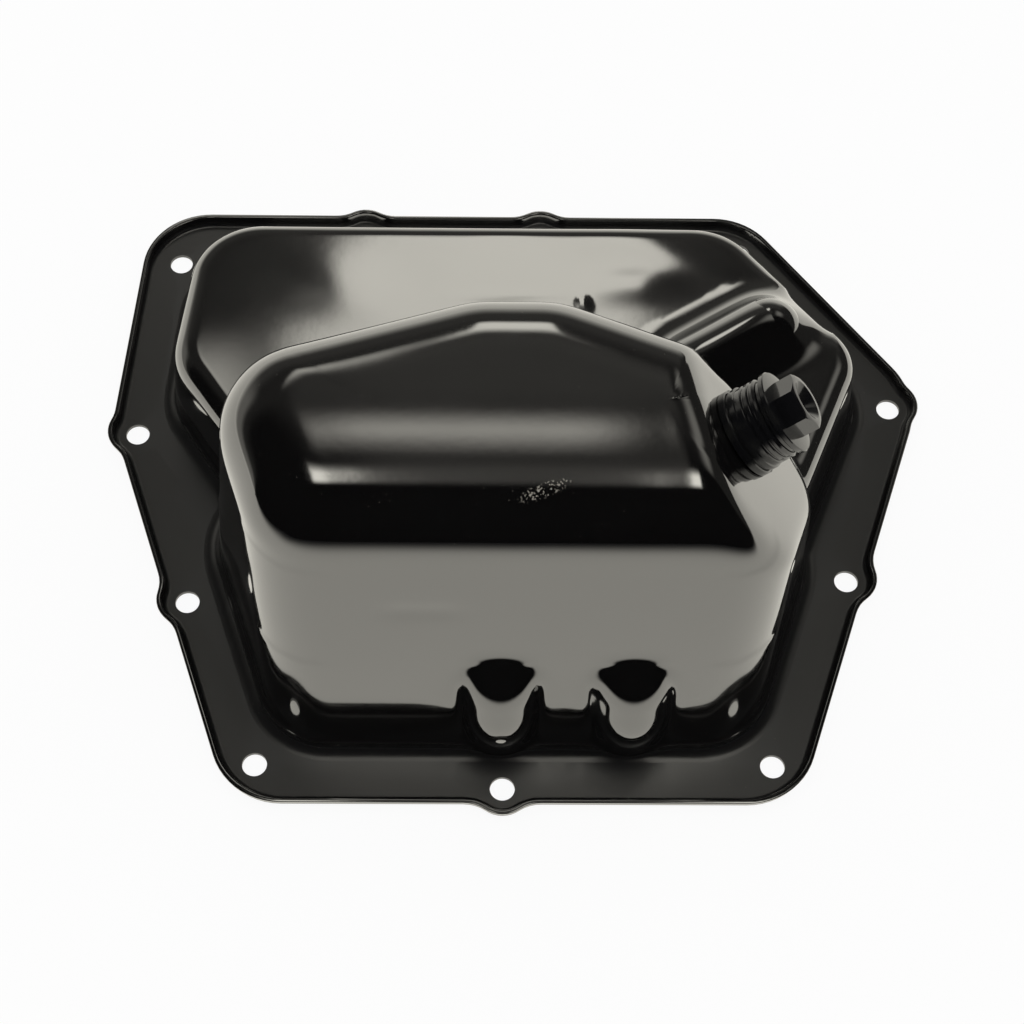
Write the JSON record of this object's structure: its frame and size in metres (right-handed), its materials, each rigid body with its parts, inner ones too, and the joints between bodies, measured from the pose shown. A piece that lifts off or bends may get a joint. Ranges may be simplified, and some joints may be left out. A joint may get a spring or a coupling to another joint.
{
  "type": "engine oil pan",
  "caption": "Stamped steel engine oil pan with a deep sump, a shallow end, a flanged bolt rim and a screwed drain plug on an angled facet.",
  "frame": {"origin": "on the gasket face, midway between the two front corner bolt holes", "axes": "+X to the right along the front pair of holes, +Y to the shallow end, +Z from the gasket face to the floor of the deep end"},
  "size_m": [0.3001, 0.2515, 0.112],
  "materials": {
    "pan": "gloss black paint",
    "boss": "gloss black paint",
    "washer": "dull",
    "plug": "gloss black paint"
  },
  "bodies": {
    "pan": {"pan_shell": "pan", "drain_boss": "boss"},
    "washer": {"drain_washer": "washer"},
    "plug": {"drain_plug": "plug"}
  },
  "joints": [
    {"name": "plug_travel", "type": "slide", "parent": "pan", "child": "washer", "axis": [0.7883, 0.182, 0.5878], "range_m": [0, 0.015]},
    {"name": "plug_turn", "type": "hinge", "parent": "washer", "child": "plug", "pos_m": [0.0727, 0.0787, 0.09], "axis": [0.7883, 0.182, 0.5878], "range_deg": [0, 3600]}
  ],
  "couplings": [
    {"joint": "plug_travel", "follows": "plug_turn", "m_per_rad": 0.00023873}
  ]
}
